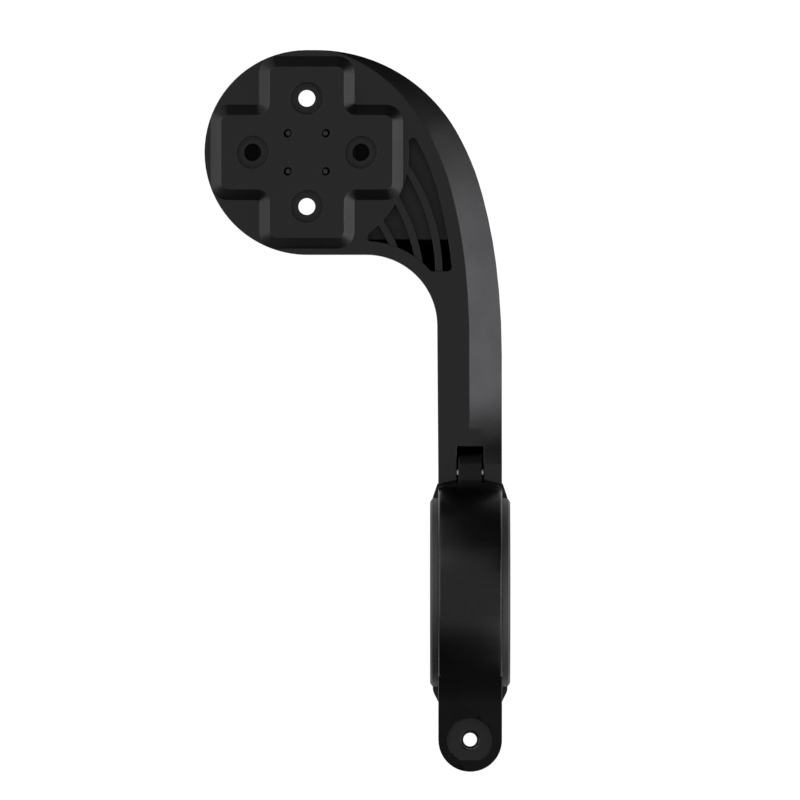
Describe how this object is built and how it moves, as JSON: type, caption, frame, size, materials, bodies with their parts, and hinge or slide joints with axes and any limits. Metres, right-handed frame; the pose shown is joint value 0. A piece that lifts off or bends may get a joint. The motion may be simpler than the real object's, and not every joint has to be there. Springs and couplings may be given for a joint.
{
  "type": "bike computer mount",
  "caption": "Out-front bike computer mount: offset ribbed arm with a round head and twist-lock socket, a screw pad for accessories, and a hinged handlebar clamp.",
  "frame": {"origin": "on the handlebar's axis, in the middle of the clamp", "axes": "+X along the handlebar, +Y forwards from the clamp to the head, +Z out of the screw side, away from the computer"},
  "size_m": [0.0577, 0.1361, 0.0412],
  "materials": {
    "arm_alloy": "satin black anodised",
    "strap_alloy": "semi-gloss black anodised",
    "pin_steel": "plain ground",
    "socket_nylon": "fine moulded grain",
    "liner_rubber": "smooth moulded"
  },
  "bodies": {
    "arm": {"arm": "arm_alloy", "hinge_pin": "pin_steel", "socket_insert": "socket_nylon", "jaw_liner": "liner_rubber"},
    "strap": {"strap": "strap_alloy", "strap_liner": "liner_rubber"}
  },
  "joints": [
    {"name": "strap_hinge", "type": "hinge", "parent": "arm", "child": "strap", "pos_m": [0, 0.0225, 0], "axis": [-1, 0, 0], "range_deg": [0, 60]}
  ]
}
